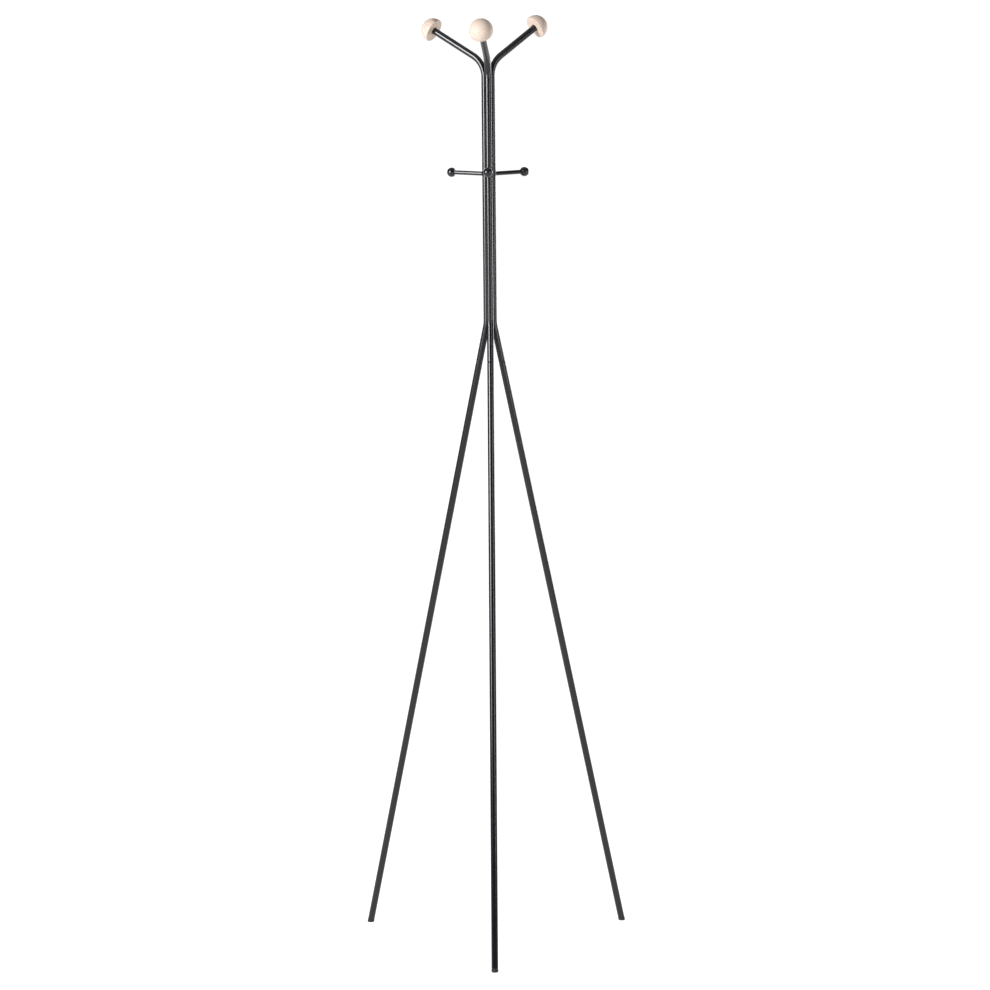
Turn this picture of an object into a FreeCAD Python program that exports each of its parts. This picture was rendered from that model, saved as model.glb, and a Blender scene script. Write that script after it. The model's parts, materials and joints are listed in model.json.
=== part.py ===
import FreeCAD, Part
import math
import os

# Standing coat rack in millimetres, +Z up. The origin is on the floor, in the middle of
# the footprint, and the front leg, peg and arm point along -Y. Three bent steel tubes
# stand side by side as one column. Each turns out into a leg at its lower end and into
# an arm with a wooden knob at its upper end, and carries one coat peg between them.

Vector = FreeCAD.Vector
up = Vector(0, 0, 1)

# Tube
tube_diameter = 12.7
tube_wall = 1.5
tube_gap = 0.3               # between two column tubes, bridged by the weld beads

# Column, legs and arms, measured to the tubes' centre lines
foot_radius = 284.0          # from the column's axis to the middle of a foot
leg_corner_height = 1177.5   # where the lines of leg and upright cross
column_length = 487.2        # from there up to where the lines of upright and arm cross
leg_bend_radius = 75.0
arm_bend_radius = 47.0
leg_joint_drop = 74.5        # from the leg corner, along the leg, to the screwed joint

# One tube for each direction in plan. The arms were bent by hand, so each has its own
# rise and length, and arm and peg stand a little aside from the leg. The length runs from
# the arm corner to the knob's flat face, and the other values are in degrees.
tubes = {
    "front": {"direction": -90.0, "arm_aside": -5.9, "arm_rise": 27.4, "arm_length": 120.0, "peg_aside": -1.0},
    "right": {"direction": 30.0, "arm_aside": 0.0, "arm_rise": 35.1, "arm_length": 115.2, "peg_aside": 3.5},
    "left": {"direction": 150.0, "arm_aside": 3.0, "arm_rise": 30.4, "arm_length": 123.1, "peg_aside": 3.0},
}

# Screwed joints: a tapped bush pressed into each tube end, and a threaded stud
stud_diameter = 6.0
bush_length = 20.0
leg_stud_length = 36.0
press_clearance = 0.03       # on the radius, bush or plug to tube
thread_clearance = 0.05      # on the radius, stud to bush or insert
stud_chamfer = 0.6

# Wooden knob
knob_diameter = 44.5
knob_rim = 4.0               # straight part beside the flat face
knob_dome = 21.0             # height of the dome over the rim
knob_edge_round = 1.2
knob_socket_depth = 8.0      # how far the arm goes into the knob
knob_socket_clearance = 0.15
insert_diameter = 9.0
insert_length = 10.0
arm_plug_length = 14.0
knob_stud_in_plug = 12.0
knob_stud_end_gap = 0.5      # left free at the end of the insert

# Coat peg
peg_drop = 206.2             # from the arm corner down to the peg, on the tube's centre line
peg_tilt = 2.5               # degrees above level
peg_diameter = 8.0
peg_reach = 72.0             # from the tube's centre line to the ball's centre
peg_ball_diameter = 18.0
peg_ball_bore_depth = 7.0
peg_clearance = 0.03
peg_weld_leg = 1.8           # how far the weld spreads over the tube and along the peg

# Weld beads in the grooves between the column tubes
bead_diameter = 2.8
bead_length = 14.0
bead_depth = 2.6             # from the tubes' nearest points out to the bead's middle
bead_rows = 5
bead_end_margin = 45.0       # from each corner to the nearest row

# Foot glide
glide_height = 6.0           # of the head, along the leg
glide_overhang = 0.25        # of the head beyond the tube
glide_sole_round = 2.0
glide_plug_length = 14.0
glide_core_inset = 0.7       # of the plug's core, within its ribs
glide_ribs = 3
glide_rib_length = 2.0

tube_radius = tube_diameter / 2
bore_radius = tube_radius - tube_wall
column_radius = (tube_diameter + tube_gap) / math.sqrt(3)
column_axis = Vector(0, foot_radius / 4, 0)
arm_corner_height = leg_corner_height + column_length
stud_radius = stud_diameter / 2
tapped_radius = stud_radius + thread_clearance
peg_radius = peg_diameter / 2


def in_plan(degrees):
    angle = math.radians(degrees)
    return Vector(math.cos(angle), math.sin(angle), 0)


def risen(plan_direction, degrees):
    angle = math.radians(degrees)
    return plan_direction * math.cos(angle) + up * math.sin(angle)


def rod(radius, start, end):
    return Part.makeCylinder(radius, (end - start).Length, start, end - start)


def placed(shape, origin, direction):
    """Stand a shape made along +Z at a point, pointing along a direction."""
    shape.Placement = FreeCAD.Placement(origin, FreeCAD.Rotation(up, direction))
    return shape


def pipe(start, end):
    return rod(tube_radius, start, end).cut(rod(bore_radius, start, end))


def tube(points, bend_radii):
    """The steel tube along straight runs, with an arc of the given radius at each corner."""
    pieces = []
    start = points[0]
    for before, corner, after, bend_radius in zip(points, points[1:], points[2:], bend_radii):
        way_in = (corner - before).normalize()
        way_out = (after - corner).normalize()
        turn = way_in.getAngle(way_out)
        tangent = bend_radius * math.tan(turn / 2)
        bend_axis = way_in.cross(way_out).normalize()
        bend_start = corner - way_in * tangent
        bend_centre = bend_start + bend_axis.cross(way_in) * bend_radius
        disc, hole = [Part.Face(Part.Wire(Part.makeCircle(radius, bend_start, way_in)))
                      for radius in (tube_radius, bore_radius)]
        pieces.append(pipe(start, bend_start))
        pieces.append(disc.cut(hole).Faces[0].revolve(bend_centre, bend_axis, math.degrees(turn)))
        start = corner + way_out * tangent
    pieces.append(pipe(start, points[-1]))
    return pieces[0].fuse(pieces[1:]).removeSplitter() if len(pieces) > 1 else pieces[0]


def bush(outer_radius, start, end):
    """A plain turned bush, tapped right through for the stud."""
    return rod(outer_radius, start, end).cut(rod(tapped_radius, start, end))


def stud(start, end):
    """A threaded stud at its outer diameter, with both ends chamfered."""
    bar = rod(stud_radius, start, end)
    rims = [edge for edge in bar.Edges if isinstance(edge.Curve, Part.Circle)]
    return bar.makeChamfer(stud_chamfer, rims)


def places(settings):
    """The points and directions that all the pieces of one tube share."""
    outwards = in_plan(settings["direction"])
    upright = column_axis + outwards * column_radius
    leg_corner = upright + up * leg_corner_height
    arm_corner = upright + up * arm_corner_height
    foot = column_axis + outwards * foot_radius
    leg = (foot - leg_corner).normalize()
    arm = risen(in_plan(settings["direction"] + settings["arm_aside"]), settings["arm_rise"])
    knob_face = arm_corner + arm * settings["arm_length"]
    return {
        "outwards": outwards,
        "upright": upright,
        "leg": leg,
        "leg_corner": leg_corner,
        "leg_joint": leg_corner + leg * leg_joint_drop,
        "leg_end": foot - leg * glide_height,
        "arm": arm,
        "arm_corner": arm_corner,
        "arm_end": knob_face + arm * knob_socket_depth,
        "knob_face": knob_face,
        "peg": risen(in_plan(settings["direction"] + settings["peg_aside"]), peg_tilt),
        "peg_root": arm_corner - up * peg_drop,
    }


def upper_tube(at):
    run = [at["leg_joint"], at["leg_corner"], at["arm_corner"], at["arm_end"]]
    past_wall = at["peg_root"] + at["peg"] * tube_diameter
    hole = rod(peg_radius + peg_clearance, at["peg_root"], past_wall)
    return tube(run, [leg_bend_radius, arm_bend_radius]).cut(hole)


def leg_tube(at):
    return tube([at["leg_joint"], at["leg_end"]], [])


def knob(at):
    """A half ball on the arm's line, with a socket for the arm and a bore for the insert."""
    radius = knob_diameter / 2
    corner = knob_edge_round * (1 - math.sqrt(0.5))
    dome_radius = (radius ** 2 + knob_dome ** 2) / (2 * knob_dome)
    dome_centre = knob_rim + knob_dome - dome_radius
    halfway = dome_radius * math.sqrt(0.5)
    apex = Vector(0, 0, knob_rim + knob_dome)
    face_rim = Vector(radius - knob_edge_round, 0, 0)
    side_start = Vector(radius, 0, knob_edge_round)
    side_end = Vector(radius, 0, knob_rim)
    profile = Part.Wire([
        Part.LineSegment(Vector(), face_rim).toShape(),
        Part.Arc(face_rim, Vector(radius - corner, 0, corner), side_start).toShape(),
        Part.LineSegment(side_start, side_end).toShape(),
        Part.Arc(side_end, Vector(halfway, 0, dome_centre + halfway), apex).toShape(),
        Part.LineSegment(apex, Vector()).toShape(),
    ])
    body = Part.Face(profile).revolve(Vector(), up, 360)
    socket_end = up * knob_socket_depth
    socket = rod(tube_radius + knob_socket_clearance, Vector(), socket_end)
    bore = rod(insert_diameter / 2, socket_end, socket_end + up * insert_length)
    return placed(body.cut([socket, bore]), at["knob_face"], at["arm"])


def knob_insert(at):
    return bush(insert_diameter / 2, at["arm_end"], at["arm_end"] + at["arm"] * insert_length)


def arm_plug(at):
    return bush(bore_radius - press_clearance, at["arm_end"] - at["arm"] * arm_plug_length, at["arm_end"])


def knob_stud(at):
    start = at["arm_end"] - at["arm"] * knob_stud_in_plug
    end = at["arm_end"] + at["arm"] * (insert_length - knob_stud_end_gap)
    return stud(start, end)


def upper_bush(at):
    return bush(bore_radius - press_clearance, at["leg_joint"] - at["leg"] * bush_length, at["leg_joint"])


def leg_bush(at):
    return bush(bore_radius - press_clearance, at["leg_joint"], at["leg_joint"] + at["leg"] * bush_length)


def leg_stud(at):
    reach = at["leg"] * (leg_stud_length / 2)
    return stud(at["leg_joint"] - reach, at["leg_joint"] + reach)


def ball_centre(at):
    return at["peg_root"] + at["peg"] * peg_reach


def rod_end(at):
    """The peg's outer end, at the bottom of the ball's bore."""
    return ball_centre(at) - at["peg"] * (peg_ball_diameter / 2 - peg_ball_bore_depth)


def peg_rod(at):
    return rod(peg_radius, at["peg_root"], rod_end(at))


def peg_ball(at):
    ball = Part.makeSphere(peg_ball_diameter / 2, ball_centre(at), at["peg"])
    return ball.cut(rod(peg_radius + peg_clearance, at["peg_root"], rod_end(at)))


def peg_weld(at):
    """A fillet weld round the peg, lying on the outside of its tube."""
    saddle_depth = tube_radius - math.sqrt(tube_radius ** 2 - peg_radius ** 2)
    base = at["peg_root"] + at["peg"] * (tube_radius - saddle_depth - peg_weld_leg)
    length = saddle_depth + 2 * peg_weld_leg
    spread = peg_radius + peg_weld_leg
    cone = Part.makeCone(spread, peg_radius + peg_clearance, length, base, at["peg"])
    below = at["peg_root"] - up * 2 * peg_diameter
    above = at["peg_root"] + up * 2 * peg_diameter
    tube_bar = rod(tube_radius, below, above)
    return cone.cut([tube_bar, rod(peg_radius, at["peg_root"], rod_end(at))])


def foot_glide(at):
    """A moulded glide: a head cut level at the floor, and a ribbed plug inside the leg."""
    head_radius = tube_radius + glide_overhang
    corner = Vector(at["leg_end"].x - tube_diameter, at["leg_end"].y - tube_diameter, -tube_diameter)
    below_floor = Part.makeBox(2 * tube_diameter, 2 * tube_diameter, tube_diameter, corner)
    head = rod(head_radius, at["leg_end"], at["leg_end"] + at["leg"] * (glide_height + tube_radius))
    head = head.cut(below_floor)
    sole_edges = [edge for edge in head.Edges if edge.BoundBox.ZMax < glide_height / 10]
    head = head.makeFillet(glide_sole_round, sole_edges)
    rib_radius = bore_radius - press_clearance
    inwards = at["leg"] * -1
    plug = [rod(rib_radius - glide_core_inset, at["leg_end"], at["leg_end"] + inwards * glide_plug_length)]
    pitch = glide_plug_length / glide_ribs
    for number in range(glide_ribs):
        rib_start = at["leg_end"] + inwards * (number * pitch + pitch / 2)
        plug.append(rod(rib_radius, rib_start, rib_start + inwards * glide_rib_length))
    return head.fuse(plug).removeSplitter()


def column_welds():
    """Short beads that bridge the column tubes, in rows up all three grooves."""
    plans = [in_plan(settings["direction"]) * column_radius for settings in tubes.values()]
    lowest = leg_corner_height + bead_end_margin
    spacing = (arm_corner_height - bead_end_margin - lowest) / (bead_rows - 1)
    beads = []
    for first, second in zip(plans, plans[1:] + plans[:1]):
        middle = (first + second) * 0.5
        groove = column_axis + middle + Vector(middle).normalize() * bead_depth
        for row in range(bead_rows):
            height = lowest + row * spacing
            low = groove + up * (height - bead_length / 2)
            high = groove + up * (height + bead_length / 2)
            ends = [Part.makeSphere(bead_diameter / 2, low), Part.makeSphere(bead_diameter / 2, high)]
            bead = rod(bead_diameter / 2, low, high).fuse(ends).removeSplitter()
            below = up * (height - bead_length)
            above = up * (height + bead_length)
            uprights = [rod(tube_radius, column_axis + plan + below, column_axis + plan + above)
                        for plan in (first, second)]
            beads.append(bead.cut(uprights))
    return Part.makeCompound([solid for bead in beads for solid in bead.Solids])


makers = {
    "upper_tube": upper_tube,
    "leg_tube": leg_tube,
    "upper_bush": upper_bush,
    "leg_bush": leg_bush,
    "leg_stud": leg_stud,
    "knob": knob,
    "knob_insert": knob_insert,
    "knob_stud": knob_stud,
    "arm_plug": arm_plug,
    "peg_rod": peg_rod,
    "peg_ball": peg_ball,
    "peg_weld": peg_weld,
    "foot_glide": foot_glide,
}

nodes = {"column_welds": column_welds()}
for side, settings in tubes.items():
    at = places(settings)
    for name, make in makers.items():
        nodes[name + "_" + side] = make(at)

os.makedirs("parts", exist_ok=True)
for name, shape in nodes.items():
    shape.exportStep("parts/" + name + ".step")
    print(name, "solids", len(shape.Solids), "volume", round(shape.Volume, 1), "valid", shape.isValid())
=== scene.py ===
import json
import math

import bmesh
import bpy
from mathutils import Matrix, Vector


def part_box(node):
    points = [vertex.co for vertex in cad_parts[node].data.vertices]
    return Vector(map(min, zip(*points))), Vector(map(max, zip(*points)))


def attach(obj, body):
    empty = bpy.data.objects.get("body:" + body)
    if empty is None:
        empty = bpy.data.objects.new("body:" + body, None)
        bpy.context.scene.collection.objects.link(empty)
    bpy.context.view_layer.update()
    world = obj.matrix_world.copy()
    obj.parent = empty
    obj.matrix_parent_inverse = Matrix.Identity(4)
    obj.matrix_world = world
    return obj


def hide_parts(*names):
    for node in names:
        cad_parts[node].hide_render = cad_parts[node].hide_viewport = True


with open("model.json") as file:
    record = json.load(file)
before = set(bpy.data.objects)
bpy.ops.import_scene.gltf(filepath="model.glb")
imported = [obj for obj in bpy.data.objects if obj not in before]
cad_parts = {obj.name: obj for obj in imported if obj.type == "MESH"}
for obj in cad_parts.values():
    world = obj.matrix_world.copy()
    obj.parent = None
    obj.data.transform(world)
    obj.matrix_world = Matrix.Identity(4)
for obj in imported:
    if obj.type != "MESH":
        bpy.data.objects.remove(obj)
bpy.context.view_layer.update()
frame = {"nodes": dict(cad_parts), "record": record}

print("frame loaded")

mm = 0.001
upward = Vector((0, 0, 1))
sides = ["front", "right", "left"]
feet = {mount["name"]: Vector(mount["pos_m"]) for mount in frame["record"]["mounts"]}
columnMiddle = sum(feet.values(), Vector()) / 3    # on the floor, under the column


def middleOf(nodeName):
    low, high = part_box(nodeName)
    return (low + high) / 2


# places: everything follows from the feet and from the small pieces inside the tubes

tubeSizes = {
    "diameter": 12.7 * mm,
    "wall": 1.5 * mm,
    "gap": 0.3 * mm,             # between two column tubes
    "legBendRadius": 75 * mm,
    "armBendRadius": 47 * mm,
    "endChamfer": 1.0 * mm,
    "flattening": 0.03,          # of the section at the middle of a bend
    "guardRing": 1.5 * mm,       # keeps the shading of a straight run even up to its ends
    "chamferSteps": 2,
    "sharpAngle": 50,
    "ringSteps": 56,
    "bendSteps": 28,
}
knobSizes = {
    "diameter": 44.5 * mm,
    "rim": 4 * mm,               # straight part beside the flat face
    "dome": 21 * mm,
    "edgeRound": 1.2 * mm,
    "socketDepth": 8 * mm,
    "socketClearance": 0.15 * mm,
    "socketChamfer": 0.5 * mm,
    "insertDiameter": 9 * mm,
    "insertLength": 10 * mm,
    "plugLength": 14 * mm,       # of the tapped plug in the arm's end
    "faceRings": (0.5, 0.72, 0.88),
    "roundSteps": 6,
    "domeSteps": 34,
    "ringSteps": 96,
}
pegSizes = {
    "rodDiameter": 8 * mm,
    "ballDiameter": 18 * mm,
    "ballFlat": 5.4 * mm,        # radius of the flat round the rod
    "boreDepth": 7 * mm,
    "leastOutward": 0.1,         # share of a ball's way out along an axis, to measure it there
    "arcSteps": 28,
    "weldLeg": 1.8 * mm,
    "weldSunk": 0.3 * mm,        # into the tube and the rod
    "weldArcSteps": 7,
    "weldSwell": 0.018,
    "weldSwells": 13,            # round the rod
    "weldDrift": (3, 2),         # how often and how far the swells crowd together
    "ringSteps": 48,
}

tubeRadius = tubeSizes["diameter"] / 2
columnRadius = (tubeSizes["diameter"] + tubeSizes["gap"]) / math.sqrt(3)


def placesOf(side):
    foot = feet["foot_" + side]
    outward = (foot - columnMiddle).normalized()
    upright = columnMiddle + outward * columnRadius
    joint = (middleOf("upper_bush_" + side) + middleOf("leg_bush_" + side)) / 2
    jointOut = (joint - columnMiddle).dot(outward)
    slope = joint.z / ((foot - columnMiddle).length - jointOut)
    legCorner = upright + upward * (joint.z + (jointOut - columnRadius) * slope)
    plug = middleOf("arm_plug_" + side)
    insert = middleOf("knob_insert_" + side)
    arm = (insert - plug).normalized()
    armCorner = upright + upward * (plug.z - (plug.xy - upright.xy).length * arm.z / arm.xy.length)
    arm = (insert - armCorner).normalized()
    armEnd = plug + arm * knobSizes["plugLength"] / 2
    low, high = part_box("peg_ball_" + side)
    ball = (low + high) / 2
    for axis in range(2):        # the ball's inner side is bored, so its outer side is measured
        if abs(outward[axis]) > pegSizes["leastOutward"]:
            outer = high[axis] if outward[axis] > 0 else low[axis]
            ball[axis] = outer - math.copysign(pegSizes["ballDiameter"] / 2, outward[axis])
    peg = (ball - middleOf("peg_rod_" + side)).normalized()
    pegRoot = ball - peg * (ball.xy - upright.xy).length / peg.xy.length
    return {
        "foot": foot, "outward": outward, "joint": joint, "leg": (foot - joint).normalized(),
        "legCorner": legCorner, "armCorner": armCorner,
        "arm": arm, "armEnd": armEnd, "knobFace": armEnd - arm * knobSizes["socketDepth"],
        "peg": peg, "pegRoot": pegRoot, "ball": ball,
    }


places = {side: placesOf(side) for side in sides}


# materials

def addNode(tree, kind, inputs=None, **settings):
    made = tree.nodes.new(kind)
    for name, value in settings.items():
        setattr(made, name, value)
    for name, value in (inputs or {}).items():
        if isinstance(value, bpy.types.NodeSocket):
            tree.links.new(value, made.inputs[name])
        else:
            made.inputs[name].default_value = value
    return made


def startMaterial(name, **shaderValues):
    material = bpy.data.materials.new(name)
    material.use_nodes = True
    tree = material.node_tree
    shader = tree.nodes["Principled BSDF"]
    for socket, value in shaderValues.items():
        shader.inputs[socket.replace("_", " ")].default_value = value
    return material, tree, shader


def ramp(tree, factor, stops):
    made = addNode(tree, "ShaderNodeValToRGB", {"Fac": factor})
    elements = made.color_ramp.elements
    while len(elements) < len(stops):
        elements.new(0.5)
    for element, (position, colour) in zip(elements, stops):
        element.position = position
        element.color = (*colour, 1)
    return made.outputs["Color"]


def scaled(tree, factor, low, high):
    made = addNode(tree, "ShaderNodeMapRange", {"Value": factor, "To Min": low, "To Max": high})
    return made.outputs["Result"]


def noise(tree, place, size, detail=3, roughness=0.5):
    made = addNode(tree, "ShaderNodeTexNoise", {
        "Vector": place, "Scale": 1 / size, "Detail": detail, "Roughness": roughness})
    return made.outputs["Fac"]


def bumped(tree, shader, height, depth):
    made = addNode(tree, "ShaderNodeBump", {"Height": height, "Distance": depth, "Strength": 1.0})
    tree.links.new(made.outputs["Normal"], shader.inputs["Normal"])


def clouded(tree, shader, place, sizes):
    low, high = sizes["cloudEdges"]
    clouds = noise(tree, place, sizes["cloudSize"], sizes["cloudDetail"])
    tone = ramp(tree, clouds, [(low, sizes["dark"]), (high, sizes["light"])])
    tree.links.new(tone, shader.inputs["Base Color"])


powderCoat = {
    "dark": (0.0036, 0.0036, 0.0052),
    "light": (0.0056, 0.0056, 0.0078),
    "cloudSize": 60 * mm,        # of the faint changes in tone
    "cloudDetail": 4,
    "cloudEdges": (0.35, 0.65),
    "gloss": 0.44,
    "roughness": (0.15, 0.19),
    "roughSize": 9 * mm,
    "roughDetail": (5, 0.6),     # steps of finer noise, and how strongly each goes in
    "peelSize": 2.2 * mm,        # of the orange peel's bumps
    "peelDetail": 2,
    "peelDepth": 0.0008 * mm,
}


def makePowderCoat(name, sizes):
    material, tree, shader = startMaterial(name, Specular_IOR_Level=sizes["gloss"])
    place = addNode(tree, "ShaderNodeTexCoord").outputs["Object"]
    clouded(tree, shader, place, sizes)
    fine = noise(tree, place, sizes["roughSize"], *sizes["roughDetail"])
    tree.links.new(scaled(tree, fine, *sizes["roughness"]), shader.inputs["Roughness"])
    peel = noise(tree, place, sizes["peelSize"], sizes["peelDetail"])
    bumped(tree, shader, peel, sizes["peelDepth"])
    return material


beech = {
    "early": (0.510, 0.420, 0.358),
    "late": (0.385, 0.292, 0.230),
    "fleck": (0.320, 0.220, 0.155),
    # colour of a darker brown patch in the wood near the top of the left knob's rim
    "topPatchColour": (0.250, 0.140, 0.080),
    "ringWidth": 4.3 * mm,
    "ringWander": 5 * mm,
    "wanderSize": 30 * mm,
    "wanderDetail": (3, 0.45),
    "lateStart": 0.45,           # share of a ring's width
    "latePeak": 0.86,
    "ringStrength": (0.25, 0.85),
    "strengthSize": 14 * mm,
    "patchStrength": 0.45,
    "patchSize": 9 * mm,
    "poreSpacing": 0.9 * mm,
    "poreStretch": 0.14,         # along the grain
    "poreEdges": (0.10, 0.24),
    "poreCover": (0.45, 0.60),
    "coverSize": 3 * mm,
    "poreTone": 0.3,
    "fibreSize": 0.7 * mm,
    "reliefDepth": 0.003 * mm,
    "gloss": 0.3,
    "roughness": (0.50, 0.64),
    "roughSize": 5 * mm,
}


def blended(tree, factor, first, second):
    made = addNode(tree, "ShaderNodeMix", {"Factor": factor, 6: first, 7: second}, data_type="RGBA")
    return made.outputs[2]


def reckoned(tree, operation, *values):
    made = addNode(tree, "ShaderNodeMath", dict(enumerate(values)), operation=operation)
    return made.outputs["Value"]


def ranged(tree, value, fromLow, fromHigh, low=0.0, high=1.0):
    made = addNode(tree, "ShaderNodeMapRange", {
        "Value": value, "From Min": fromLow, "From Max": fromHigh, "To Min": low, "To Max": high})
    return made.outputs["Result"]


def ringTones(tree, place, sizes):
    across = addNode(tree, "ShaderNodeVectorMath", {0: place, 1: (1, 1, 0)}, operation="MULTIPLY")
    away = addNode(tree, "ShaderNodeVectorMath", {0: across.outputs["Vector"]}, operation="LENGTH")
    wander = noise(tree, place, sizes["wanderSize"], *sizes["wanderDetail"])
    moved = reckoned(tree, "MULTIPLY_ADD", wander, sizes["ringWander"], away.outputs["Value"])
    rings = reckoned(tree, "FRACT", reckoned(tree, "DIVIDE", moved, sizes["ringWidth"]))
    early, late = sizes["early"], sizes["late"]
    stops = [(0.0, early), (sizes["lateStart"], early), (sizes["latePeak"], late), (1.0, early)]
    uneven = noise(tree, place, sizes["strengthSize"], detail=2)
    strength = scaled(tree, uneven, *sizes["ringStrength"])
    body = blended(tree, strength, (*early, 1), ramp(tree, rings, stops))
    patchy = noise(tree, place, sizes["patchSize"], detail=4)
    patches = scaled(tree, patchy, 0.0, sizes["patchStrength"])
    return blended(tree, patches, body, (*late, 1))


def poreMask(tree, place, drawn, sizes):
    cells = addNode(tree, "ShaderNodeTexVoronoi", {"Vector": drawn, "Scale": 1 / sizes["poreSpacing"]})
    cover = ranged(tree, noise(tree, place, sizes["coverSize"], detail=2), *sizes["poreCover"])
    holes = ranged(tree, cells.outputs["Distance"], *sizes["poreEdges"], 1.0, 0.0)
    return reckoned(tree, "MULTIPLY", holes, cover)


# mask of a darker brown patch in the wood, with a ragged edge
def topPatchMask(tree, place, topPatch):
    away = addNode(tree, "ShaderNodeVectorMath", {0: place, 1: topPatch["place"]}, operation="DISTANCE")
    roughEdge = noise(tree, place, topPatch["raggedSize"], detail=4)
    ragged = reckoned(tree, "MULTIPLY_ADD", roughEdge, topPatch["ragged"], away.outputs["Value"])
    edge = topPatch["ragged"] / 2 + topPatch["radius"]
    return ranged(tree, ragged, edge * topPatch["core"], edge, topPatch["strength"], 0.0)


def makeBeech(name, sizes, topPatch):
    material, tree, shader = startMaterial(name, Specular_IOR_Level=sizes["gloss"])
    place = addNode(tree, "ShaderNodeAttribute", attribute_name="grain").outputs["Vector"]
    stretch = (1, 1, sizes["poreStretch"])
    drawn = addNode(tree, "ShaderNodeMapping", {"Vector": place, "Scale": stretch}).outputs["Vector"]
    pores = poreMask(tree, place, drawn, sizes)
    poreTone = reckoned(tree, "MULTIPLY", pores, sizes["poreTone"])
    colour = blended(tree, poreTone, ringTones(tree, place, sizes), (*sizes["fleck"], 1))
    # a darker brown patch in the wood, on the left knob only
    if topPatch:
        colour = blended(tree, topPatchMask(tree, place, topPatch), colour, (*sizes["topPatchColour"], 1))
    tree.links.new(colour, shader.inputs["Base Color"])
    dull = scaled(tree, noise(tree, place, sizes["roughSize"], detail=4), *sizes["roughness"])
    tree.links.new(dull, shader.inputs["Roughness"])
    fibres = noise(tree, drawn, sizes["fibreSize"])
    bumped(tree, shader, reckoned(tree, "SUBTRACT", fibres, pores), sizes["reliefDepth"])
    return material


nylon = {
    "dark": (0.010, 0.010, 0.011),
    "light": (0.018, 0.018, 0.019),
    "cloudSize": 4 * mm,
    "cloudDetail": 3,
    "cloudEdges": (0.3, 0.7),
    "gloss": 0.45,
    "roughness": (0.48, 0.62),
    "grainSize": 0.5 * mm,
    "grainDepth": 0.02 * mm,
}


def makeNylon(name, sizes):
    material, tree, shader = startMaterial(name, Specular_IOR_Level=sizes["gloss"])
    place = addNode(tree, "ShaderNodeTexCoord").outputs["Object"]
    grain = noise(tree, place, sizes["grainSize"])
    clouded(tree, shader, place, sizes)
    tree.links.new(scaled(tree, grain, *sizes["roughness"]), shader.inputs["Roughness"])
    bumped(tree, shader, grain, sizes["grainDepth"])
    return material


turnedMetal = {"cloudSize": 3 * mm, "cloudDetail": 4, "cloudEdges": (0.3, 0.7),
               "lineSize": 2.5 * mm, "lineSquash": 9, "lineDepth": 0.006 * mm}
platedSteel = {"dark": (0.42, 0.43, 0.44), "light": (0.60, 0.61, 0.62), "roughness": (0.25, 0.42)}
turnedBrass = {"dark": (0.62, 0.42, 0.16), "light": (0.78, 0.57, 0.26), "roughness": (0.22, 0.38)}


def makeTurnedMetal(name, sizes):
    material, tree, shader = startMaterial(name, Metallic=1.0)
    place = addNode(tree, "ShaderNodeTexCoord").outputs["Object"]
    clouded(tree, shader, place, sizes)
    squash = (1, 1, sizes["lineSquash"])
    lines = addNode(tree, "ShaderNodeMapping", {"Vector": place, "Scale": squash})
    turned = noise(tree, lines.outputs["Vector"], sizes["lineSize"])
    tree.links.new(scaled(tree, turned, *sizes["roughness"]), shader.inputs["Roughness"])
    bumped(tree, shader, turned, sizes["lineDepth"])
    return material


coatBlack = makePowderCoat("powderCoatBlack", powderCoat)
nylonBlack = makeNylon("nylonBlack", nylon)
steelPlated = makeTurnedMetal("steelPlated", {**turnedMetal, **platedSteel})
brassTurned = makeTurnedMetal("brassTurned", {**turnedMetal, **turnedBrass})
print("materials made")


# shaping

def standAt(origin, direction):
    turn = upward.rotation_difference(direction).to_matrix().to_4x4()
    return Matrix.Translation(origin) @ turn


meshSizes = {
    "merge": 0.0005 * mm,        # points nearer than this become one
    "sharpAngle": 30,
}


def finishPiece(name, bm, material, replaced, sharpAngle=meshSizes["sharpAngle"]):
    bmesh.ops.remove_doubles(bm, verts=bm.verts, dist=meshSizes["merge"])
    bmesh.ops.recalc_face_normals(bm, faces=bm.faces)
    mesh = bpy.data.meshes.new(name)
    bm.to_mesh(mesh)
    bm.free()
    mesh.shade_smooth()
    mesh.set_sharp_from_angle(angle=math.radians(sharpAngle))
    mesh.materials.append(material)
    piece = bpy.data.objects.new(name, mesh)
    bpy.context.scene.collection.objects.link(piece)
    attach(piece, "root")
    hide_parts(*replaced)


def newRing(bm, radius, steps, where):
    made = bmesh.ops.create_circle(bm, segments=steps, radius=radius, matrix=where)
    return list({edge for vert in made["verts"] for edge in vert.link_edges})


def ringVerts(edges):
    return list({vert for edge in edges for vert in edge.verts})


def runOn(bm, edges, travel):
    made = bmesh.ops.extrude_edge_only(bm, edges=edges)["geom"]
    verts = [item for item in made if isinstance(item, bmesh.types.BMVert)]
    bmesh.ops.translate(bm, vec=travel, verts=verts)
    return [item for item in made if isinstance(item, bmesh.types.BMEdge)]


def runStraight(bm, edges, travel, guard):
    edges = runOn(bm, edges, travel.normalized() * guard)
    edges = runOn(bm, edges, travel.normalized() * (travel.length - 2 * guard))
    return runOn(bm, edges, travel.normalized() * guard)


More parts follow.
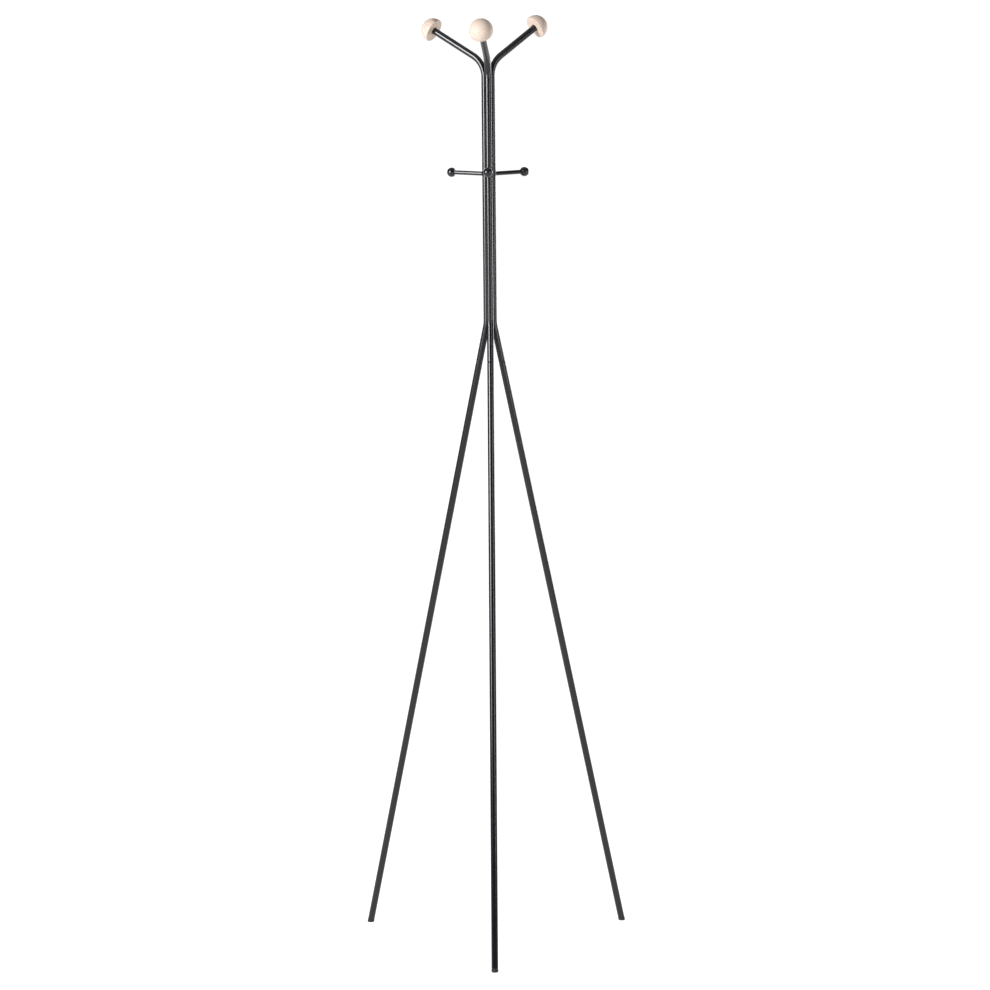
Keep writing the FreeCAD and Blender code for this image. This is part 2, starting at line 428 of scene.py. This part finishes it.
def bendOn(bm, edges, corner, wayIn, wayOut, bendRadius, flattening, steps):
    turn = wayIn.angle(wayOut)
    axis = wayIn.cross(wayOut).normalized()
    inner = axis.cross(wayIn)
    centre = corner - wayIn * bendRadius * math.tan(turn / 2) + inner * bendRadius
    rings = []
    stepTurn = Matrix.Rotation(turn / steps, 3, axis)
    for step in range(steps):
        edges = runOn(bm, edges, Vector())
        bmesh.ops.rotate(bm, cent=centre, matrix=stepTurn, verts=ringVerts(edges))
        rings.append(ringVerts(edges))
    for step, verts in enumerate(rings):    # a bent tube is a little flat across its bend
        share = math.sin(math.pi * (step + 1) / steps)
        towards = Matrix.Rotation(turn * (step + 1) / steps, 3, axis) @ inner
        middle = centre - towards * bendRadius
        for vert in verts:
            across = (vert.co - middle).dot(towards)
            beside = (vert.co - middle).dot(axis)
            vert.co += (axis * beside / 2 - towards * across) * flattening * share
    return edges


def makeTube(bm, radius, points, bendRadii, sizes):
    ways = [(after - before).normalized() for before, after in zip(points, points[1:])]
    edges = newRing(bm, radius, sizes["ringSteps"], standAt(points[0], ways[0]))
    first = edges
    start = points[0]
    for number, bendRadius in enumerate(bendRadii):
        wayIn, wayOut, corner = ways[number], ways[number + 1], points[number + 1]
        tangent = bendRadius * math.tan(wayIn.angle(wayOut) / 2)
        edges = runStraight(bm, edges, corner - wayIn * tangent - start, sizes["guardRing"])
        edges = bendOn(bm, edges, corner, wayIn, wayOut, bendRadius,
                       sizes["flattening"], sizes["bendSteps"])
        start = corner + wayOut * tangent
    last = runStraight(bm, edges, points[-1] - start, sizes["guardRing"])
    return first, last


def makeHollowTube(name, points, bendRadii, sizes, replaced):
    bm = bmesh.new()
    outer = makeTube(bm, tubeRadius, points, bendRadii, sizes)
    inner = makeTube(bm, tubeRadius - sizes["wall"], points, bendRadii, sizes)
    for outerEnd, innerEnd in zip(outer, inner):
        bmesh.ops.bridge_loops(bm, edges=outerEnd + innerEnd)
    bmesh.ops.bevel(bm, geom=outer[0] + outer[1], affect="EDGES", offset=sizes["endChamfer"],
                    segments=sizes["chamferSteps"], profile=0.5, material=-1)
    finishPiece(name, bm, coatBlack, [replaced], sizes["sharpAngle"])


for side, at in places.items():
    run = [at["joint"], at["legCorner"], at["armCorner"], at["armEnd"]]
    bends = [tubeSizes["legBendRadius"], tubeSizes["armBendRadius"]]
    makeHollowTube("upperTube_" + side, run, bends, tubeSizes, "upper_tube_" + side)
print("upper tubes made")

glideSizes = {
    "height": 6 * mm,            # of the head, along the leg
    "overhang": 0.13 * mm,
    "soleRound": 2 * mm,
    "plugLength": 14 * mm,
    "ribs": 3,
    "ribLength": 2 * mm,
    "coreInset": 0.7 * mm,
    "ribClearance": 0.03 * mm,
    "headChamfer": 0.3 * mm,
    "roundSteps": 5,
    "sharpAngle": 40,
    "ringSteps": 56,
}

for side, at in places.items():
    legEnd = at["foot"] - at["leg"] * glideSizes["height"]
    makeHollowTube("legTube_" + side, [at["joint"], legEnd], [], tubeSizes, "leg_tube_" + side)
print("leg tubes made")


def spinProfile(bm, outline, steps):
    verts = [bm.verts.new(Vector((radius, 0, height))) for radius, height in outline]
    edges = [bm.edges.new(pair) for pair in zip(verts, verts[1:])]
    bmesh.ops.spin(bm, geom=verts + edges, cent=Vector(), axis=upward, dvec=Vector(),
                   angle=math.tau, steps=steps, use_merge=True, use_duplicate=False)


# angles in degrees, from the outline's first axis
def arcPoints(middle, radius, start, end, count):
    across, along = middle
    turns = [math.radians(start + (end - start) * step / count) for step in range(count + 1)]
    return [(across + radius * math.cos(turn), along + radius * math.sin(turn)) for turn in turns]


grainPlaces = {    # where the pith lies beside the knob, so that the rings cross it as arcs
    "front": {"pithTurn": 55, "pithAway": 78 * mm, "along": 0.0},
    "right": {"pithTurn": 205, "pithAway": 52 * mm, "along": 110 * mm},
    "left": {"pithTurn": 250, "pithAway": 60 * mm, "along": 230 * mm},
}
# a darker brown patch in the wood near the top of the left knob's rim
topPatchSizes = {
    "side": "left",
    "turn": 24,                  # from the top of the rim towards the front, degrees
    "behind": 4 * mm,            # the flat face
    "radius": 6.0 * mm,
    "ragged": 8 * mm,
    "raggedSize": 3 * mm,
    "core": 0.55,                # share of the patch that is fully dark
    "strength": 0.9,
}


# where the darker brown patch sits: on the rim near its top, a little behind the flat face
def topPatchPlace(at, sizes):
    rise = (upward - at["arm"] * at["arm"].z).normalized()
    frontwards = upward.cross(at["arm"]).normalized()
    if frontwards.y > 0:
        frontwards.negate()
    turn = math.radians(sizes["turn"])
    onRim = (rise * math.cos(turn) + frontwards * math.sin(turn)) * knobSizes["diameter"] / 2
    return at["knobFace"] + onRim + at["arm"] * sizes["behind"]


def knobOutline(sizes):
    radius, edge, deep = sizes["diameter"] / 2, sizes["edgeRound"], sizes["socketDepth"]
    boreRadius = sizes["insertDiameter"] / 2
    socketRadius = tubeRadius + sizes["socketClearance"]
    chamfer = sizes["socketChamfer"]
    top = sizes["rim"] + sizes["dome"]
    domeRadius = (radius ** 2 + sizes["dome"] ** 2) / (2 * sizes["dome"])
    domeMiddle = top - domeRadius
    domeStart = math.degrees(math.asin((sizes["rim"] - domeMiddle) / domeRadius))
    boreEnd = deep + sizes["insertLength"]
    inside = [(0, boreEnd), (boreRadius, boreEnd), (boreRadius, deep), (socketRadius, deep)]
    mouth = [(socketRadius, chamfer), (socketRadius + chamfer, 0)]
    face = [(radius * share, 0) for share in sizes["faceRings"]]
    rounded = arcPoints((radius - edge, edge), edge, -90, 0, sizes["roundSteps"])
    dome = arcPoints((0, domeMiddle), domeRadius, domeStart, 90, sizes["domeSteps"])
    dome[-1] = (0, top)
    return inside + mouth + face + rounded + dome


def makeKnob(side, at, sizes, grain):
    bm = bmesh.new()
    spinProfile(bm, knobOutline(sizes), sizes["ringSteps"])
    stand = standAt(at["knobFace"], at["arm"])
    turn = math.radians(grain["pithTurn"])
    pith = Vector((math.cos(turn), math.sin(turn), 0)) * grain["pithAway"] - upward * grain["along"]
    layer = bm.verts.layers.float_vector.new("grain")
    for vert in bm.verts:
        vert[layer] = vert.co - pith
    bmesh.ops.transform(bm, matrix=stand, verts=bm.verts)
    # only the left knob gets the darker brown patch near the top of its rim
    topPatch = None
    if side == topPatchSizes["side"]:
        topPatch = dict(topPatchSizes, place=stand.inverted() @ topPatchPlace(at, topPatchSizes) - pith)
    wood = makeBeech("beech_" + side, beech, topPatch)
    finishPiece("knobTurned_" + side, bm, wood, ["knob_" + side])


for side, at in places.items():
    makeKnob(side, at, knobSizes, grainPlaces[side])
print("knobs made")


def makePegRod(side, at, sizes):
    length = (at["ball"] - at["pegRoot"]).length - sizes["ballDiameter"] / 2 + sizes["boreDepth"]
    radius = sizes["rodDiameter"] / 2
    stand = standAt(at["pegRoot"] + at["peg"] * length / 2, at["peg"])
    bm = bmesh.new()
    bmesh.ops.create_cone(bm, cap_ends=True, segments=sizes["ringSteps"], radius1=radius,
                          radius2=radius, depth=length, matrix=stand)
    finishPiece("pegRod_" + side, bm, coatBlack, ["peg_rod_" + side])


def makePegBall(side, at, sizes):
    radius, bore = sizes["ballDiameter"] / 2, sizes["rodDiameter"] / 2
    start = -math.degrees(math.acos(sizes["ballFlat"] / radius))
    ball = arcPoints((0, 0), radius, start, 90, sizes["arcSteps"])
    ball[-1] = (0, radius)
    deep = sizes["boreDepth"] - radius
    outline = [(0, deep), (bore, deep), (bore, ball[0][1])] + ball
    bm = bmesh.new()
    spinProfile(bm, outline, sizes["ringSteps"])
    bmesh.ops.transform(bm, matrix=standAt(at["ball"], at["peg"]), verts=bm.verts)
    finishPiece("pegBall_" + side, bm, coatBlack, ["peg_ball_" + side])


def makePegWeld(side, at, sizes):
    leg, sunk, inner = sizes["weldLeg"], sizes["weldSunk"], sizes["rodDiameter"] / 2
    crowds, crowding = sizes["weldDrift"]
    fillet = arcPoints((inner + leg, leg), leg, 270, 180, sizes["weldArcSteps"])
    outline = [(inner + leg, -sunk)] + fillet + [(inner - sunk, leg), (inner - sunk, -sunk)]
    bm = bmesh.new()
    spinProfile(bm, outline + outline[:1], sizes["ringSteps"])
    for vert in bm.verts:        # lie on the round of the tube
        vert.co.z += math.sqrt(tubeRadius ** 2 - vert.co.x ** 2) - tubeRadius
        around = math.atan2(vert.co.y, vert.co.x)
        wave = math.sin(sizes["weldSwells"] * around + crowding * math.sin(crowds * around))
        swell = 1 + sizes["weldSwell"] * wave
        vert.co.x *= swell
        vert.co.y *= swell
    sideways = upward.cross(at["peg"]).normalized()
    axes = Matrix((sideways, at["peg"].cross(sideways), at["peg"])).transposed().to_4x4()
    onTube = at["pegRoot"] + at["peg"] * tubeRadius
    bmesh.ops.transform(bm, matrix=Matrix.Translation(onTube) @ axes, verts=bm.verts)
    finishPiece("pegWeld_" + side, bm, coatBlack, ["peg_weld_" + side])


for side, at in places.items():
    makePegRod(side, at, pegSizes)
    makePegBall(side, at, pegSizes)
    makePegWeld(side, at, pegSizes)
print("pegs made")

beadSizes = {
    "diameter": 2.8 * mm,
    "length": 14 * mm,           # between the middles of its round ends
    "depth": 2.6 * mm,           # from the tubes' nearest points out to the bead
    "rows": 5,
    "ripplePitch": 1.3 * mm,
    "ripple": 0.10,
    "ringsPerRipple": 5,
    "sharpAngle": 60,
    "ringSteps": 20,
}


def beadOutline(sizes):
    radius, half, pitch = sizes["diameter"] / 2, sizes["length"] / 2, sizes["ripplePitch"]
    count = round(2 * (half + radius) / pitch * sizes["ringsPerRipple"])
    outline = []
    for step in range(count + 1):
        height = (half + radius) * (2 * step / count - 1)
        past = max(0, abs(height) - half) / radius
        ripple = 1 - sizes["ripple"] * (1 - abs(math.sin(math.pi * height / pitch)))
        outline.append((radius * math.sqrt(max(0, 1 - past ** 2)) * ripple, height))
    return outline


def makeColumnWelds(sizes):
    low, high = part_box("column_welds")
    reach = (sizes["diameter"] + sizes["length"]) / 2
    lowest, highest = low.z + reach, high.z - reach
    outline = beadOutline(sizes)
    bm = bmesh.new()
    for number, side in enumerate(sides):
        neighbour = places[sides[number - 1]]["outward"]
        middle = (places[side]["outward"] + neighbour) * columnRadius / 2
        groove = columnMiddle + middle + middle.normalized() * sizes["depth"]
        for row in range(sizes["rows"]):
            height = lowest + (highest - lowest) * row / (sizes["rows"] - 1)
            before = set(bm.verts)
            spinProfile(bm, outline, sizes["ringSteps"])
            bead = [vert for vert in bm.verts if vert not in before]
            bmesh.ops.translate(bm, vec=groove + upward * height, verts=bead)
    finishPiece("columnWeldBeads", bm, coatBlack, ["column_welds"],
                sizes["sharpAngle"])


makeColumnWelds(beadSizes)
print("weld beads made")


def glideOutline(sizes):
    boreRadius = tubeRadius - tubeSizes["wall"]
    head, core = tubeRadius + sizes["overhang"], boreRadius - sizes["coreInset"]
    rib, ribLength = boreRadius - sizes["ribClearance"], sizes["ribLength"]
    chamfer, top = sizes["headChamfer"], 2 * sizes["height"]    # the floor cuts the head shorter
    outline = [(0, -sizes["plugLength"]), (core, -sizes["plugLength"])]
    for number in reversed(range(sizes["ribs"])):
        start = -(number + 0.5) * sizes["plugLength"] / sizes["ribs"]
        outline += [(core, start - ribLength), (rib, start - ribLength / 2), (rib, start), (core, start)]
    outline += [(core, 0), (head - chamfer, 0), (head, chamfer), (head, top), (0, top)]
    return outline


def makeGlide(side, at, sizes):
    legEnd = at["foot"] - at["leg"] * sizes["height"]
    bm = bmesh.new()
    spinProfile(bm, glideOutline(sizes), sizes["ringSteps"])
    bmesh.ops.transform(bm, matrix=standAt(legEnd, at["leg"]), verts=bm.verts)
    everything = bm.verts[:] + bm.edges[:] + bm.faces[:]
    cut = bmesh.ops.bisect_plane(bm, geom=everything, plane_co=Vector(), plane_no=-upward,
                                 clear_outer=True)
    sole = [item for item in cut["geom_cut"] if isinstance(item, bmesh.types.BMEdge)]
    bmesh.ops.edgeloop_fill(bm, edges=sole)
    bmesh.ops.bevel(bm, geom=sole, affect="EDGES", offset=sizes["soleRound"],
                    segments=sizes["roundSteps"], profile=0.5, material=-1)
    finishPiece("footGlide_" + side, bm, nylonBlack, ["foot_glide_" + side],
                sizes["sharpAngle"])


for side, at in places.items():
    makeGlide(side, at, glideSizes)
print("glides made")

# pieces that stay as the frame has them, out of sight inside the tubes and knobs
for nodeName, node in frame["nodes"].items():
    finish = brassTurned if nodeName.startswith("knob_insert") else steelPlated
    if not node.hide_render:
        for materialSlot in node.material_slots:
            materialSlot.material = finish
print("inner pieces finished")


# stage, light and camera

stageValues = {
    "floorRadius": 40,
    "floorSteps": 128,
    "floorColour": (0.25, 0.25, 0.25),
    "floorGlow": 0.98,
    "floorCloudSize": 0.8,
    "floorClouds": 0.985,        # tone of the darker patches
    "floorCloudEdges": (0.3, 0.7),
    "floorGloss": 0.1,
    "floorRoughness": 0.9,
    "backdrop": 1.05,            # as the camera sees it
    "front": 0.08,               # what the room gives all round, from behind and from above
    "behind": 3.4,
    "behindEdges": (0.8, 1.0),
    "above": 0.65,
    "aboveEdges": (0.6, 0.95),
}


def makeFloor(values):
    bm = bmesh.new()
    bmesh.ops.create_circle(bm, cap_ends=True, segments=values["floorSteps"],
                            radius=values["floorRadius"])
    mesh = bpy.data.meshes.new("floor")
    bm.to_mesh(mesh)
    bm.free()
    material, tree, shader = startMaterial("paleFloor", Roughness=values["floorRoughness"],
                                           Specular_IOR_Level=values["floorGloss"])
    shader.inputs["Emission Color"].default_value = (1, 1, 1, 1)
    shader.inputs["Emission Strength"].default_value = values["floorGlow"]
    place = addNode(tree, "ShaderNodeTexCoord").outputs["Object"]
    light = values["floorColour"]
    dark = tuple(values["floorClouds"] * part for part in light)
    low, high = values["floorCloudEdges"]
    clouds = noise(tree, place, values["floorCloudSize"], detail=2)
    tone = ramp(tree, clouds, [(low, dark), (high, light)])
    tree.links.new(tone, shader.inputs["Base Color"])
    mesh.materials.append(material)
    floor = bpy.data.objects.new("floor", mesh)
    bpy.context.scene.collection.objects.link(floor)


def makeRoom(values):
    world = bpy.data.worlds.new("studio")
    world.use_nodes = True
    tree = world.node_tree
    tree.nodes.clear()
    way = addNode(tree, "ShaderNodeTexCoord").outputs["Generated"]
    parts = addNode(tree, "ShaderNodeSeparateXYZ", {0: way})
    around = ranged(tree, parts.outputs["Y"], *values["behindEdges"], values["front"], values["behind"])
    height = ranged(tree, parts.outputs["Z"], *values["aboveEdges"])
    room = addNode(tree, "ShaderNodeMix", {"Factor": height, "A": around, "B": values["above"]})
    seen = addNode(tree, "ShaderNodeLightPath").outputs["Is Camera Ray"]
    strength = addNode(tree, "ShaderNodeMix", {
        "Factor": seen, "A": room.outputs["Result"], "B": values["backdrop"]})
    background = addNode(tree, "ShaderNodeBackground", {
        "Color": (1, 1, 1, 1), "Strength": strength.outputs["Result"]})
    output = addNode(tree, "ShaderNodeOutputWorld")
    tree.links.new(background.outputs["Background"], output.inputs["Surface"])
    bpy.context.scene.world = world


# turn is measured round the column from the front, positive to the left
lamps = {
    "keyHigh": {"turn": 48, "away": 2.6, "height": 2.25, "size": (1.1, 1.1), "power": 96,
                "colour": (0.97, 0.98, 1.0)},
    "keyMiddle": {"turn": 48, "away": 2.6, "height": 1.525, "size": (1.1, 0.35), "power": 26,
                  "colour": (0.97, 0.98, 1.0)},
    "keyLow": {"turn": 48, "away": 2.6, "height": 1.15, "size": (1.1, 0.4), "power": 15,
               "colour": (0.97, 0.98, 1.0)},
    "fill": {"turn": -50, "away": 3.0, "height": 1.5, "size": (0.50, 1.6), "power": 22,
             "colour": (1.0, 1.0, 1.0)},
    "rim": {"turn": -130, "away": 3.0, "height": 1.55, "size": (0.8, 1.6), "power": 40,
            "colour": (1.0, 1.0, 1.0)},
}


def makeLamp(name, values):
    lamp = bpy.data.lights.new(name, "AREA")
    lamp.shape = "RECTANGLE"
    lamp.size, lamp.size_y = values["size"]
    lamp.energy = values["power"]
    lamp.color = values["colour"]
    turn = math.radians(values["turn"])
    aim = columnMiddle + upward * values["height"]
    spot = aim + Vector((-math.sin(turn), -math.cos(turn), 0)) * values["away"]
    made = bpy.data.objects.new(name, lamp)
    sight = (aim - spot).normalized()
    axes = Matrix((sight.cross(upward).normalized(), upward, -sight)).transposed().to_4x4()
    made.matrix_world = Matrix.Translation(spot) @ axes
    bpy.context.scene.collection.objects.link(made)


cameraValues = {
    "height": 1.508,
    "away": 6.55,                # from the column
    "turn": 0.465,               # round the column, degrees
    "aimTurn": -0.052,
    "tilt": 5.715,               # downwards
    "roll": -0.51,
    "focalLength": 126.4,
    "sensor": 36,
}


def makeCamera(values):
    lens = bpy.data.cameras.new("camera")
    lens.lens = values["focalLength"]
    lens.sensor_width = values["sensor"]
    turn = Matrix.Rotation(math.radians(values["turn"]), 4, "Z")
    spot = columnMiddle + turn @ Vector((0, -values["away"], 0)) + upward * values["height"]
    aim = Matrix.Rotation(math.radians(values["turn"] + values["aimTurn"]), 4, "Z")
    tilt = Matrix.Rotation(math.radians(90 - values["tilt"]), 4, "X")
    roll = Matrix.Rotation(math.radians(values["roll"]), 4, "Z")
    camera = bpy.data.objects.new("camera", lens)
    camera.matrix_world = Matrix.Translation(spot) @ aim @ tilt @ roll
    bpy.context.scene.collection.objects.link(camera)
    bpy.context.scene.camera = camera


makeFloor(stageValues)
makeRoom(stageValues)
for name, values in lamps.items():
    makeLamp(name, values)
makeCamera(cameraValues)
bpy.context.scene.view_settings.view_transform = "Standard"
print("stage, light and camera set")
